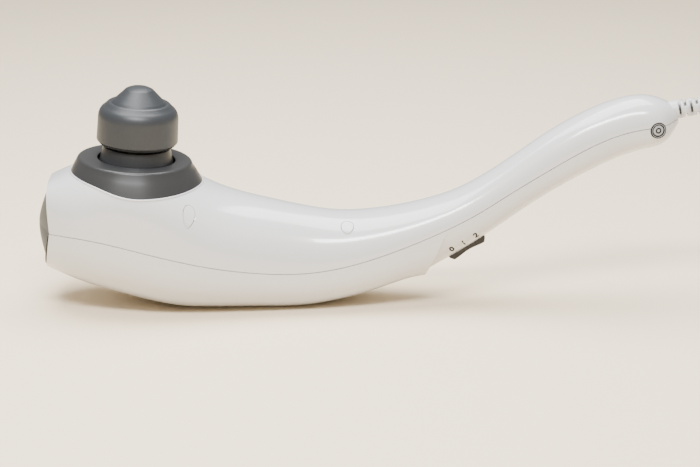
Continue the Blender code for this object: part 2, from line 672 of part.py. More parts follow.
clear_scene()
PARTS = new_collection("wand massager")
CUTTERS = new_collection("cutters")
make_upper_shell()
make_lower_shell()
make_case_screws()
make_front_cap()
make_collar()
make_badge()
make_massage_head()
make_neck_sleeve()
make_plunger_yoke()
make_guide_bush()
make_drive_frame()
make_motor()
make_rotor()
make_eccentric()
make_switch()
make_electrics()
make_cord_clamp()
make_strain_relief()
make_mains_lead()
make_mains_plug()
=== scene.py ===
"""Looks of the handheld wand massager: glossy white half shells, satin grey massage head, neck
and collar, front cap, slide switch, badge, slotted strain relief and mains lead.

Lengths are in millimetres until a point is made, which turns them into metres. +X runs from
the front cap to the tail, +Z is up, and the object lies on the flat of its belly at z = 0."""

import json
import math

import bmesh
import bpy
import numpy as np
from mathutils import Matrix, Vector
from mathutils.bvhtree import BVHTree


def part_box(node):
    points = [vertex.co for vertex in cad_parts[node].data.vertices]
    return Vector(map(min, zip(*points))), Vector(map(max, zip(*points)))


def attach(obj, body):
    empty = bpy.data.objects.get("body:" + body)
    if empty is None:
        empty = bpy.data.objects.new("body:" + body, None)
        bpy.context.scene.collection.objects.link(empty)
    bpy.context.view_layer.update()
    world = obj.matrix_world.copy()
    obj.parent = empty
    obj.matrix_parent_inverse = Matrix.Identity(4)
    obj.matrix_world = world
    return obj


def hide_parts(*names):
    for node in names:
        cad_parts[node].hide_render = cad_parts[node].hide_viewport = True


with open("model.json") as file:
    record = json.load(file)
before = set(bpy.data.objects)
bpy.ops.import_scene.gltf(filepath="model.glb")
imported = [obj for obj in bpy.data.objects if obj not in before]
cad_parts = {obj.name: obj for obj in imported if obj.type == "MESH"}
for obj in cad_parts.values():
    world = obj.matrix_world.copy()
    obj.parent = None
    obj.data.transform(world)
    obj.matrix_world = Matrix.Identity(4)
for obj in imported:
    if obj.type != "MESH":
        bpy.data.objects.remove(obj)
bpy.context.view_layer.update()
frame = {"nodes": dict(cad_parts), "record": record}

MM = 0.001

# The shell's cross-sections, front to tail: crown, seam and keel points in the side view
# (x, z), half of the width, and how square the upper and lower halves are (2 is an ellipse).
BODY_STATIONS = [
    (-195.7, 82.5, -193.7, 53.2, -198.4, 24.5, 28.5, 3.3, 2.1),
    (-182.0, 88.4, -182.0, 54.3, -182.0, 18.0, 37.8, 2.8, 2.1),
    (-160.0, 92.4, -160.0, 52.3, -160.0, 10.8, 44.5, 4.0, 2.1),
    (-136.0, 91.0, -136.0, 46.8, -136.0, 4.2, 46.5, 4.4, 2.1),
    (-112.0, 85.5, -112.0, 40.0, -112.0, -0.8, 44.4, 3.1, 2.1),
    (-89.0, 76.4, -89.0, 34.3, -89.0, -1.6, 41.0, 2.4, 2.1),
    (-59.0, 68.3, -59.0, 29.4, -59.0, -1.6, 36.0, 2.2, 2.1),
    (-29.0, 62.2, -29.0, 28.5, -29.0, -0.6, 32.0, 2.1, 2.1),
    (-5.0, 60.0, 1.0, 33.4, 7.0, 7.6, 28.4, 2.1, 2.2),
    (20.8, 62.5, 28.0, 41.8, 29.0, 15.4, 25.0, 2.1, 2.4),
    (50.4, 69.5, 58.2, 54.0, 43.2, 18.3, 21.1, 2.1, 2.5),
]
HANDLE_STATIONS = [
    (51.0, 69.7, 58.8, 54.3, 45.0, 21.0, 21.0, 2.1, 1.7),
    (66.8, 75.9, 76.0, 63.0, 77.5, 41.8, 19.3, 2.1, 2.1),
    (84.8, 86.4, 93.0, 73.6, 101.7, 58.9, 18.0, 2.1, 2.1),
    (118.6, 110.4, 128.0, 95.6, 136.5, 81.5, 17.4, 2.1, 2.1),
    (151.6, 129.0, 159.0, 112.3, 165.8, 96.5, 17.8, 2.1, 2.1),
    (178.6, 136.4, 182.0, 118.5, 185.2, 102.6, 17.3, 2.1, 2.1),
    (194.0, 133.6, 196.0, 120.6, 198.0, 109.3, 13.4, 2.1, 2.1),
    (202.3, 129.5, 203.0, 122.5, 203.7, 118.5, 5.5, 2.0, 2.0),
]
CROWN, SEAM, KEEL, WIDTH, UPPER, LOWER = slice(0, 2), slice(2, 4), slice(4, 6), 6, 7, 8
WALL = 2.4
DRIVE_BORE = 32.8  # radius of the opening under the collar
TAIL_HOLE = 6.2
BADGE_SEAT = 5.25
SEAM_GAP = 0.32
EDGE = 0.45  # radius on the shells' free edges
EASE = 0.3  # how far in such an edge's middle is, as a share of that radius
ALONG_STEP = 1.6  # between cross-sections
ARC = 72  # facets around half of a cross-section

HEAD_AXIS = (-139.9, 0.0, 95.5)
HEAD_LEAN = 4.0
COLLAR_HOLE = 24.7
COLLAR_RIM = (36.4, -1.0)  # radius of the top's outer edge, and what it gains aft
COLLAR_FOOT = (41.9, 0.7, 1.5)  # the same for the lower edge, and what that gains at the sides
LIP_RADIUS = 0.65
CAP_TIP = (-196.4, 0.0, 53.6)
CAP_BULGE = 6.9
# Each case screw's place (x, y), and how far the plug over it leans, in degrees.
CASE_SCREWS = [(-104.5, -36.6, 14.0), (-104.5, 36.6, 14.0), (-5.7, -17.2, 0.0), (-5.7, 17.2, 0.0)]
SCREW_PLUG_RADIUS = 3.75
SCREW_PLUG_GAP = 0.4  # round each plug
SCREW_PLUG_EASE = 0.5  # taken off the edges beside that gap
SWITCH_SPOT = (71.2, 0.0, 37.7)
HANDLE_SLOPE = 32.3
SWITCH_HALF = (13.3, 6.6)  # of the frame: along and across
SWITCH_DEPTH = 2.6  # of the frame's foot in the handle
KNOB_GROOVES = (-2.4, -0.8, 0.8, 2.4)
SWITCH_MARKS = [("0", -7.9, 6.6), ("1", 0.7, 6.1), ("2", 9.9, 6.3)]  # along and up the handle
MARK_SIZE = 5.6
MARK_HEIGHT = 0.05  # of the print over the surface
MARK_DEPTH = 0.04  # of its foot under the surface
TAIL = (203.0, 0.0, 127.3)
TAIL_RISE = 10.0
RELIEF_LENGTH = 42.0
RELIEF_SLOTS = 10
SLOT_PITCH = 3.7
SLOT_WIDTH = 1.6
BADGE_SPOT = (189.4, -16.3, 117.6)

CORD_RADIUS = 3.0
COIL_CENTRE = (352.0, 0.5)
CORD_ROUTE = [
    (177.4, 0.0, 122.8),
    (203.0, 0.0, 127.3),
    (224.2, 0.0, 131.0),
    (244.4, 0.0, 134.6),
    (262.0, 0.0, 137.5),
    (278.8, -0.5, 136.2),
    (292.0, -1.5, 127.5),
    (299.5, -3.0, 112.0),
    (301.0, -5.0, 92.0),
    (300.0, -8.0, 70.0),
    (297.8, -12.5, 48.0),
    (297.6, -18.0, 30.0),
    (301.0, -23.4, 16.8),
    (307.0, -29.2, 7.4),
    (315.3, -35.5, 3.4),
    (322.6, -39.9, 3.3),
    (329.5, -42.9, 3.3),
]
COIL_TURNS = [42.0, 36.0, 30.0]  # radii of the turns in a layer, from the outside in
COIL_START = -118.0  # degrees round the coil where the lead joins it
COIL_ROUNDS = 6
COIL_GAP = 0.2  # under the coil, and beside its first turn
COIL_STEP = 12  # degrees between points
COIL_TOP = 3 * CORD_RADIUS + 0.1  # height of the second layer's centreline
PLUG_SPOT = (352.0, 36.0, 19.3)
PLUG_TAIL = 20.0  # from the plug's place to where the lead leaves it
PLUG_TURN = 25.5  # radius of the lead's turn into the plug
PLUG_GRIPS = (-4, -1, 2, 5)
PIN_SPREAD = 6.35  # of each pin from the plug's middle


def at(x=0.0, y=0.0, z=0.0):
    return Matrix.Translation(Vector((x, y, z)) * MM)


def turn(degrees, axis):
    return Matrix.Rotation(math.radians(degrees), 4, axis)


WORLD = Matrix.Identity(4)
DRIVE = at(*HEAD_AXIS) @ turn(HEAD_LEAN, "Y")
SWITCH = at(*SWITCH_SPOT) @ turn(-HANDLE_SLOPE, "Y") @ turn(180, "X")
TAIL_FRAME = at(*TAIL) @ turn(90 - TAIL_RISE, "Y")
BADGE = at(*BADGE_SPOT) @ turn(14, "Z") @ turn(90, "X")
PLUG = at(*PLUG_SPOT)


# ---- curves -------------------------------------------------------------------------------


def spline(knots, values, wanted):
    """Values of the smooth (natural cubic) curve through the knots, at the wanted places."""
    knots, values = np.asarray(knots, float), np.asarray(values, float)
    gaps = np.diff(knots)
    size = len(knots)
    matrix = np.eye(size)
    bends = np.zeros_like(values)
    rates = np.diff(values, axis=0) / gaps.reshape(-1, *[1] * (values.ndim - 1))
    for i in range(1, size - 1):
        matrix[i, i - 1 : i + 2] = gaps[i - 1], 2 * (gaps[i - 1] + gaps[i]), gaps[i]
        bends[i] = 6 * (rates[i] - rates[i - 1])
    bends = np.linalg.solve(matrix, bends)
    found = []
    for along in np.atleast_1d(wanted):
        i = int(np.clip(np.searchsorted(knots, along) - 1, 0, size - 2))
        h, a, b = gaps[i], knots[i + 1] - along, along - knots[i]
        line = values[i] * a / h + values[i + 1] * b / h
        bow = bends[i] * (a**3 / h - a * h) / 6 + bends[i + 1] * (b**3 / h - b * h) / 6
        found.append(line + bow)
    return np.array(found)


def filleted(corners, segments=6):
    """A polyline from corners (r, z) or (r, z, radius), with an arc at each that has one."""
    points = []
    for i, corner in enumerate(corners):
        here = Vector(corner[:2])
        radius = corner[2] if len(corner) > 2 else 0.0
        if not radius:
            points.append(tuple(here))
            continue
        before = (Vector(corners[i - 1][:2]) - here).normalized()
        after = (Vector(corners[(i + 1) % len(corners)][:2]) - here).normalized()
        half = before.angle(after) / 2
        reach = radius / math.tan(half)
        centre = here + (before + after).normalized() * (radius / math.sin(half))
        start, end = here + before * reach - centre, here + after * reach - centre
        sweep = start.angle(end)
        for n in range(segments + 1):
            t = n / segments
            mixed = (start * math.sin((1 - t) * sweep) + end * math.sin(t * sweep)) / math.sin(sweep)
            points.append(tuple(centre + mixed))
    return points


# ---- meshes -------------------------------------------------------------------------------


def object_of(name, verts, faces, look=None, placed=WORLD, sharp=35):
    """A mesh object with smooth shading between faces that meet at less than the sharp angle."""
    mesh = bpy.data.meshes.new(name)
    mesh.from_pydata([placed @ (Vector(v) * MM) for v in verts], [], faces)
    tidy = bmesh.new()
    tidy.from_mesh(mesh)
    bmesh.ops.recalc_face_normals(tidy, faces=tidy.faces)
    tidy.to_mesh(mesh)
    tidy.free()
    mesh.shade_smooth()
    mesh.set_sharp_from_angle(angle=math.radians(sharp))
    thing = bpy.data.objects.new(name, mesh)
    bpy.context.scene.collection.objects.link(thing)
    if look:
        mesh.materials.append(look)
    return thing


def lathe(name, profile, look, placed=DRIVE, facets=128, ring=False, sharp=35):
    """A profile (r, z) turned about the frame's Z axis; a ring's profile closes on itself."""
    angles = [math.tau * k / facets for k in range(facets)]
    verts, rows = [], []
    for r, z in profile:
        if r < 1e-6:
            rows.append([len(verts)] * facets)
            verts.append((0.0, 0.0, z))
        else:
            rows.append(list(range(len(verts), len(verts) + facets)))
            verts += [(r * math.cos(a), r * math.sin(a), z) for a in angles]
    pairs = list(zip(rows, rows[1:]))
    if ring:
        pairs.append((rows[-1], rows[0]))
    return object_of(name, verts, skin(pairs, facets), look, placed, sharp)


def skin(pairs, size):
    """Faces between neighbouring closed rows of vertex numbers, triangles where a row is a tip."""
    faces = []
    for row, after in pairs:
        for k in range(size):
            j = (k + 1) % size
            corners = []
            for corner in (row[k], row[j], after[j], after[k]):
                if corner not in corners:
                    corners.append(corner)
            if len(corners) > 2:
                faces.append(corners)
    return faces


def numbered(rings):
    """All the points of equal rings in one list, and each ring's numbers in it."""
    size = len(rings[0])
    points = [tuple(point) for ring in rings for point in ring]
    return points, [list(range(n * size, (n + 1) * size)) for n in range(len(rings))]


def loft(name, rings, look, sharp=35):
    """A skin through closed rings of points, with a face over each end."""
    verts, rows = numbered(rings)
    faces = skin(zip(rows, rows[1:]), len(rings[0]))
    faces += [rows[0], rows[-1]]
    return object_of(name, verts, faces, look, WORLD, sharp)


def block(name, low, high, look=None, placed=WORLD, round_by=0.0, segments=3):
    """A block between two corners, with rounded edges if asked."""
    xs, ys, zs = zip(low, high)
    verts = [(x, y, z) for x in xs for y in ys for z in zs]
    faces = [(0, 1, 3, 2), (4, 6, 7, 5), (0, 4, 5, 1), (2, 3, 7, 6), (0, 2, 6, 4), (1, 5, 7, 3)]
    thing = object_of(name, verts, faces, look, placed)
    if round_by:
        soften(thing, round_by, segments)
    return thing


def soften(thing, radius, segments=3):
    """Rounds the edges, and keeps the flats looking flat."""
    rounding = thing.modifiers.new("rounded edges", "BEVEL")
    rounding.width = radius * MM
    rounding.segments = segments
    rounding.limit_method = "ANGLE"
    rounding.angle_limit = math.radians(30)
    rounding.harden_normals = True
    bake(thing)


def bake(thing):
    """Applies the modifiers, and keeps the object's materials."""
    graph = bpy.context.evaluated_depsgraph_get()
    made = bpy.data.meshes.new_from_object(thing.evaluated_get(graph), depsgraph=graph)
    thing.modifiers.clear()
    old, thing.data = thing.data, made
    bpy.data.meshes.remove(old)


def carve(thing, tools, operation="DIFFERENCE"):
    """Cuts the tools out of a mesh, joins them to it or keeps what is in them, and then
    removes them."""
    for tool in tools:
        step = thing.modifiers.new(tool.name, "BOOLEAN")
        step.operation = operation
        step.solver = "EXACT"
        step.object = tool
    bake(thing)
    for tool in tools:
        bpy.data.objects.remove(tool, do_unlink=True)


def bead(name, line, radius, look, closed=False, smooth=4):
    """A round bead along a line of points, which are in metres."""
    data = bpy.data.curves.new(name, "CURVE")
    data.dimensions = "3D"
    data.bevel_depth = radius * MM
    data.bevel_resolution = smooth
    data.use_fill_caps = not closed
    run = data.splines.new("POLY")
    run.points.add(len(line) - 1)
    for point, spot in zip(run.points, line):
        point.co = (*spot, 1.0)
    run.use_cyclic_u = closed
    data.materials.append(look)
    thing = bpy.data.objects.new(name, data)
    bpy.context.scene.collection.objects.link(thing)
    return thing


def rod(name, radius, low, high, placed=WORLD, facets=64):
    """A plain cylinder, used to cut holes."""
    return lathe(name, [(0, high), (radius, high), (radius, low), (0, low)], None, placed, facets)


def copy_normals(thing, form, reach=0.06, spread=0.9):
    """Gives the faces that lie on a smooth form that form's own normals, so that the cuts
    round them leave no trace in the gloss."""
    mesh = thing.data
    mesh.shade_smooth()
    mesh.set_sharp_from_angle(angle=math.radians(30))
    normals = [Vector(n.vector) for n in mesh.corner_normals]
    tree, faces = form
    for face in mesh.polygons:
        for loop in face.loop_indices:
            spot = mesh.vertices[mesh.loops[loop].vertex_index].co
            found, _, index, distance = tree.find_nearest(spot)
            if distance is None or distance > reach * MM:
                continue
            corners = faces[index]
            weights = barycentric(found, *[corner for corner, _ in corners])
            smooth = sum((n * w for (_, n), w in zip(corners, weights)), Vector())
            smooth.normalize()
            if smooth.dot(face.normal) > spread:
                normals[loop] = smooth
    mesh.normals_split_custom_set(normals)


def barycentric(point, a, b, c):
    """Weights of a triangle's corners at a point in it."""
    u, v, w = b - a, c - a, point - a
    uu, uv, vv, wu, wv = u.dot(u), u.dot(v), v.dot(v), w.dot(u), w.dot(v)
    span = uu * vv - uv * uv
    if span < 1e-20:
        return 1.0, 0.0, 0.0
    s, t = (vv * wu - uv * wv) / span, (uu * wv - uv * wu) / span
    return 1 - s - t, s, t


# ---- the shell's form -----------------------------------------------------------------------


def station_values():
    """The cross-sections' values at close steps along the seam. The keel jumps at the ledge
    under the belly, where the body ends and the handle begins."""
    body, handle = np.array(BODY_STATIONS), np.array(HANDLE_STATIONS)
    whole = np.vstack([body, handle[1:]])
    first, last = body[0, 2], handle[-1, 2]
    places = np.arange(first, last, ALONG_STEP)
    places = np.append(places[places < last - 0.5], last)
    ledge = handle[0, 2]
    places = places[np.abs(places - ledge) > 0.9]
    places = np.sort(np.append(places, [body[-1, 2], ledge]))
    rows = spline(whole[:, 2], whole, places)
    for part, chosen in ((body, places < ledge - 0.1), (handle, places >= ledge - 0.1)):
        fitted = spline(part[:, 2], part, places[chosen])
        rows[chosen, KEEL] = fitted[:, KEEL]
        rows[chosen, LOWER] = fitted[:, LOWER]
    return rows


def half_outline(row, half, inset=0.0, lift=0.0):
    """One half's cross-section, from the -Y seam over the tip to the +Y seam, as evenly
    spaced points, moved in from the surface by inset."""
    tip, seam = (row[CROWN] if half > 0 else row[KEEL]), row[SEAM]
    square = row[UPPER] if half > 0 else row[LOWER]
    reach = math.dist(tip, seam)
    angles = np.linspace(0, math.pi, 400)
    flat, rise = np.cos(angles), np.sin(angles)
    across = -np.sign(flat) * np.abs(flat) ** (2 / square) * (row[WIDTH] - inset)
    height = np.maximum(np.abs(rise) ** (2 / square) * (reach - inset), lift)
    run = np.concatenate([[0], np.cumsum(np.hypot(np.diff(across), np.diff(height)))])
    even = np.linspace(0, run[-1], ARC + 1)
    across, height = np.interp(even, run, across), np.interp(even, run, height)
    spots = seam + np.outer(height / reach, tip - seam)
    return np.column_stack([spots[:, 0], across, spots[:, 1]])


def whole_outline(row, inset=0.0):
    """Both halves' cross-section as one closed ring, without the gap at the seam."""
    upper, lower = half_outline(row, 1, inset), half_outline(row, -1, inset)[::-1]
    return np.vstack([upper[:-1], lower[:-1]])


def shell_ring(row, half, inset=0.0):
    """The closed outline of one half shell's wall: outside, rounded edge, inside, and back."""
    lift = SEAM_GAP / 2
    foot = half_outline(row, half, inset + EDGE, lift)
    corner = half_outline(row, half, inset + EASE * EDGE, lift + EASE * EDGE)
    face = half_outline(row, half, inset, lift + EDGE)
    outside = [foot[:1], corner[:1], face, corner[-1:], foot[-1:]]
    inside = half_outline(row, half, WALL, lift)[::-1]
    return np.vstack(outside + [inside])


def half_shell(name, half, look):
    """The upper (1) or lower (-1) half shell, uncut, with rounded free edges."""
    rows = station_values()
    rings = [shell_ring(rows[0], half, EDGE), shell_ring(rows[0], half, EASE * EDGE)]
    rings[1][:, 0] += EASE * EDGE
    for n, row in enumerate(rows):
        ring = shell_ring(row, half)
        if n == 0:
            ring[:, 0] += EDGE
        rings.append(ring)
    verts, numbers = numbered(rings)
    faces = skin(zip(numbers, numbers[1:]), len(rings[0]))
    outside = ARC + 5  # points on the outside of a ring, with those of its two rounded edges
    for ring in (numbers[0], numbers[-1]):
        outer, inner = ring[:outside], ring[outside:][::-1]
        pairs = list(zip(outer[2:-2], inner))
        faces += [(a, c, d, b) for (a, b), (c, d) in zip(pairs, pairs[1:])]
        faces.append((outer[0], outer[1], outer[2], inner[0]))
        faces.append((outer[-1], outer[-2], outer[-3], inner[-1]))
    return object_of(name, verts, faces, look)


def outer_form():
    """The whole outside as one smooth surface: a search tree, and each triangle's corners
    with their normals."""
    rings = [whole_outline(row) for row in station_values()]
    thing = loft("outer form", rings, None, sharp=20)
    mesh = thing.data
    mesh.calc_loop_triangles()
    corner_normals = [Vector(n.vector) for n in mesh.corner_normals]
    points = [v.co.copy() for v in mesh.vertices]
    triangles = [tuple(t.vertices) for t in mesh.loop_triangles]
    corners = [
        [(points[v], corner_normals[loop]) for v, loop in zip(t.vertices, t.loops)]
        for t in mesh.loop_triangles
    ]
    tree = BVHTree.FromPolygons(points, triangles)
    bpy.data.objects.remove(thing, do_unlink=True)
    return tree, corners


# ---- materials ------------------------------------------------------------------------------


def nodes_of(name):
    """A new material, with a helper that adds a shader node and sets its inputs."""
    made = bpy.data.materials.new(name)
    made.use_nodes = True
    tree = made.node_tree
    shader = tree.nodes["Principled BSDF"]

    def add(kind, **values):
        node = tree.nodes.new(kind)
        for key, value in values.items():
            if key in node.inputs:
                node.inputs[key].default_value = value
            else:
                setattr(node, key, value)
        return node

    return made, shader, add, tree.links.new


def noise(add, link, size, detail=3.0, stretch=(1, 1, 1)):
    """Fine or broad mottling in the object's own coordinates; size is in millimetres."""
    where = add("ShaderNodeTexCoord")
    scaled = add("ShaderNodeMapping", Scale=stretch)
    pattern = add("ShaderNodeTexNoise", Scale=1 / (size * MM), Detail=detail)
    link(where.outputs["Object"], scaled.inputs["Vector"])
    link(scaled.outputs["Vector"], pattern.inputs["Vector"])
    return pattern.outputs["Fac"]


def spread_to(add, link, value, low, high):
    """A 0 to 1 value, spread over a range."""
    spread = add("ShaderNodeMapRange")
    spread.inputs["To Min"].default_value = low
    spread.inputs["To Max"].default_value = high
    link(value, spread.inputs["Value"])
    return spread.outputs["Result"]


def two_tone(add, link, value, colour, depth):
    """A colour that is darker, by the share depth, where a 0 to 1 value is low."""
    shade = add("ShaderNodeMix", data_type="RGBA")
    shade.inputs[6].default_value = (*[channel * (1 - depth) for channel in colour], 1)
    shade.inputs[7].default_value = (*colour, 1)
    link(value, shade.inputs[0])
    return shade.outputs[2]


def plastic(name, colour, roughness, grain, depth, mottle, uneven=0.05, coat=0.0, shine=0.5):
    """Moulded plastic: faint colour mottling, uneven gloss, and the mould's fine texture,
    whose grain and depth are in millimetres."""
    made, shader, add, link = nodes_of(name)
    tone = two_tone(add, link, noise(add, link, 9.0), colour, mottle)
    link(tone, shader.inputs["Base Color"])
    gloss = spread_to(add, link, noise(add, link, 2.5, 5.0), roughness - uneven, roughness + uneven)
    link(gloss, shader.inputs["Roughness"])
    bump = add("ShaderNodeBump", Strength=0.5, Distance=depth * MM)
    link(noise(add, link, grain, 2.0), bump.inputs["Height"])
    link(bump.outputs["Normal"], shader.inputs["Normal"])
    shader.inputs["Specular IOR Level"].default_value = shine
    if coat:
        shader.inputs["Coat Weight"].default_value = coat
        shader.inputs["Coat Roughness"].default_value = 0.06
    return made


def metal(name, colour, roughness, stretch=(1, 1, 1), size=1.5):
    """Bare or plated metal, with fine drawn or turned marks along the stretched axis."""
    made, shader, add, link = nodes_of(name)
    marks = noise(add, link, size, 6.0, stretch)
    link(two_tone(add, link, marks, colour, 0.2), shader.inputs["Base Color"])
    gloss = spread_to(add, link, marks, roughness - 0.08, roughness + 0.1)
    link(gloss, shader.inputs["Roughness"])
    shader.inputs["Metallic"].default_value = 1.0
    return made


def windings(name, colour):
    """Varnished copper wire, with a bump line for each turn, and the copper painted darker in the
    grooves between turns as painted shade.
    """
    made, shader, add, link = nodes_of(name)
    where = add("ShaderNodeTexCoord")
    turns = add("ShaderNodeTexWave", Scale=700.0, Distortion=1.5)
    link(where.outputs["Object"], turns.inputs["Vector"])
    bump = add("ShaderNodeBump", Strength=0.6, Distance=0.2 * MM)
    link(turns.outputs["Fac"], bump.inputs["Height"])
    link(bump.outputs["Normal"], shader.inputs["Normal"])
    # darker where the bump is low, between the turns: painted shade
    tone = two_tone(add, link, turns.outputs["Fac"], colour, 0.45)
    link(tone, shader.inputs["Base Color"])
    shader.inputs["Metallic"].default_value = 1.0
    shader.inputs["Roughness"].default_value = 0.35
    return made


def shell_looks():
    """The plastics that are seen from outside. After the colour come the roughness, the
    texture's grain and depth, the mottling, and sometimes how uneven the gloss is."""
    white = plastic("white plastic", (0.62, 0.62, 0.625), 0.18, 0.4, 0.002, 0.01, 0.03, coat=0.45)
    vinyl = plastic("white vinyl", (0.60, 0.60, 0.605), 0.38, 0.5, 0.02, 0.02)
    grey = plastic("grey plastic", (0.0272, 0.0303, 0.0345), 0.41, 0.22, 0.02, 0.08, 0.03, shine=0.42)
    neck = plastic("neck plastic", (0.027, 0.028, 0.030), 0.36, 0.22, 0.02, 0.08, shine=0.4)
    collar = plastic(
        "collar plastic", (0.030, 0.0305, 0.0315), 0.33, 0.22, 0.01, 0.03, 0.012, shine=0.33
    )
    cap = plastic("cap plastic", (0.046, 0.052, 0.056), 0.40, 0.5, 0.002, 0.05, 0.03, shine=0.12)
    dark = plastic("dark plastic", (0.026, 0.025, 0.024), 0.42, 0.2, 0.02, 0.1, shine=0.3)
    ink = plastic("printing ink", (0.02, 0.018, 0.017), 0.6, 0.2, 0.01, 0.2, shine=0.2)
    rim = plastic("badge dark", (0.014, 0.014, 0.015), 0.35, 0.2, 0.005, 0.1, shine=0.2)
    disc = plastic("badge silver", (0.36, 0.37, 0.39), 0.3, 0.2, 0.005, 0.06, shine=0.4)
    return {
        "white_plastic": white,
        "white_vinyl": vinyl,
        "grey_plastic": grey,
        "neck_plastic": neck,
        "collar_plastic": collar,
        "cap_plastic": cap,
        "dark_plastic": dark,
        "ink": ink,
        "badge_dark": rim,
        "badge_silver": disc,
    }


def inner_looks():
    """The materials of the drive, the wiring and the fasteners."""
    looks = {
        "black_nylon": plastic("black nylon", (0.02, 0.02, 0.021), 0.5, 0.3, 0.03, 0.1),
        "ferrite": plastic("ferrite", (0.03, 0.03, 0.035), 0.6, 0.3, 0.05, 0.2),
        "carbon": plastic("carbon", (0.015, 0.015, 0.016), 0.65, 0.4, 0.06, 0.2),
        "rubber": plastic("rubber", (0.02, 0.02, 0.02), 0.75, 0.3, 0.04, 0.2),
        "board": plastic("board", (0.02, 0.14, 0.06), 0.4, 1.2, 0.04, 0.35),
        "steel": metal("steel", (0.56, 0.56, 0.57), 0.3),
        "zinc": metal("zinc", (0.5, 0.5, 0.49), 0.42, size=3.0),
        "bronze": metal("bronze", (0.5, 0.33, 0.15), 0.38),
        "brass": metal("brass", (0.72, 0.55, 0.24), 0.28),
        "silver_foil": metal("silver foil", (0.78, 0.78, 0.77), 0.3, (1, 1, 12), 0.8),
        "copper": windings("copper windings", (0.7, 0.3, 0.14)),
    }
    wires = {
        "red": (0.55, 0.03, 0.03),
        "black": (0.02, 0.02, 0.02),
        "brown": (0.16, 0.06, 0.03),
        "blue": (0.03, 0.1, 0.42),
    }
    for tint, colour in wires.items():
        looks[f"{tint}_wire"] = plastic(f"{tint} wire", colour, 0.4, 0.3, 0.01, 0.08)
    return looks


def dress_nodes(looks):
    """Gives every CAD piece its procedural material, by the record's slots."""
    for part in frame["record"]["subparts"]:
        materials = frame["nodes"][part["node"]].data.materials
        materials.clear()
        materials.append(looks[part["material_slot"]])
    frame["nodes"]["commutator"].data.materials[0] = looks["brass"]


# ---- camera, lights and floor ---------------------------------------------------------------


VIEW_TARGET = (-4.0, 0.0, 45.0)
VIEW_ELEVATION = 17.3
VIEW_DISTANCE = 1500.0
LENS = 120.0
DAYLIGHT = (1.0, 0.97, 0.93, 1)
DAYLIGHT_STRENGTH = 0.4
# Each softbox's place, what it faces, its size, all in metres, and its power in watts.
SOFTBOXES = {
    "top softbox": ((-0.1, 0.15, 1.2), (0, 0, 0.05), (1.2, 0.8), 41.0),
    "front softbox": ((-0.11, -0.80, 1.08), (0, 0, 0.06), (0.8, 0.2), 27.0),
}
FLOOR_COLOUR = (0.89, 0.75, 0.55, 1)


def make_camera():
    """A long lens, far off, a little above the object."""
    data = bpy.data.cameras.new("camera")
    data.lens = LENS
    data.sensor_width = 36.0
    data.clip_end = 20.0
    camera = bpy.data.objects.new("camera", data)
    bpy.context.scene.collection.objects.link(camera)
    back = at(0, -VIEW_DISTANCE, 0) @ turn(90, "X")
    camera.matrix_world = at(*VIEW_TARGET) @ turn(-VIEW_ELEVATION, "X") @ back
    bpy.context.scene.camera = camera


def make_softbox(name, spot, target, size, power):
    """An area light at the spot that faces the target."""
    data = bpy.data.lights.new(name, "AREA")
    data.shape = "RECTANGLE"
    data.size, data.size_y = size
    data.energy = power
    light = bpy.data.objects.new(name, data)
    bpy.context.scene.collection.objects.link(light)
    aim = (Vector(target) - Vector(spot)).to_track_quat("-Z", "Y")
    light.matrix_world = Matrix.Translation(Vector(spot)) @ aim.to_matrix().to_4x4()


def make_studio():
    """Soft light from above and from the front, on a plain pale floor."""
    world = bpy.data.worlds.new("soft room")
    bpy.context.scene.world = world
    world.use_nodes = True
    backdrop = world.node_tree.nodes["Background"]
    backdrop.inputs["Color"].default_value = DAYLIGHT
    backdrop.inputs["Strength"].default_value = DAYLIGHT_STRENGTH
    for name, facts in SOFTBOXES.items():
        make_softbox(name, *facts)
    bpy.ops.mesh.primitive_plane_add(size=14, location=(0, 3, 0))
    floor = bpy.context.object
    floor.name = "floor"
    made, shader, _, _ = nodes_of("pale floor")
    shader.inputs["Base Color"].default_value = FLOOR_COLOUR
    shader.inputs["Roughness"].default_value = 0.9
    floor.data.materials.append(made)


# ---- the mains lead -------------------------------------------------------------------------


def on_coil(radius, degrees, height):
    """A point of the coil, by its radius and its bearing from +X."""
    round_by = math.radians(degrees)
    x, y = COIL_CENTRE
    return (x + radius * math.cos(round_by), y + radius * math.sin(round_by), height)


def coil_point(angle):
    """A point of the wound lead, by the angle turned since it joined the coil, in degrees.
    The lead shifts in by one turn, up one layer, or out again, over the same short sector."""
    sector = 60.0
    rounds, part = int(angle // 360), angle % 360
    t = min(part / sector, 1.0)
    ease = t * t * (3 - 2 * t)
    first = COIL_TURNS[0] + 2 * CORD_RADIUS + COIL_GAP
    radii = [first] + COIL_TURNS + COIL_TURNS[::-1]
    low = CORD_RADIUS + COIL_GAP
    heights = [low + 0.1] + [low] * 3 + [COIL_TOP] * 3
    radius = radii[rounds] + (radii[rounds + 1] - radii[rounds]) * ease
    height = heights[rounds] + (heights[rounds + 1] - heights[rounds]) * ease
    return on_coil(radius, COIL_START + angle, height)


def coil_end():
    """The lead's last part: it climbs over the coil, and turns into the plug's tail."""
    x, y, z = PLUG_SPOT
    climb = []
    for n in (1, 2, 3, 4, 5):
        rise = (z - COIL_TOP) * math.sin(math.tau * n / 20)
        climb.append(on_coil(COIL_TURNS[0], 230 + 22 * n, COIL_TOP + rise))
    for degrees in (0, 30, 60, 90):
        along = PLUG_TURN * math.cos(math.radians(degrees))
        across = PLUG_TURN * math.sin(math.radians(degrees))
        climb.append((x + PLUG_TAIL + along, y - PLUG_TURN + across, z))
    return climb


def cord_line():
    """The lead's centreline, and its length: the free run, the coil, and the way to the plug."""
    wound = [coil_point(angle) for angle in range(COIL_STEP, 360 * COIL_ROUNDS, COIL_STEP)]
    points = np.array(CORD_ROUTE + wound + coil_end())
    run = np.concatenate([[0], np.cumsum(np.linalg.norm(np.diff(points, axis=0), axis=1))])
    return spline(run, points, np.arange(0, run[-1], 4.0)), run[-1]


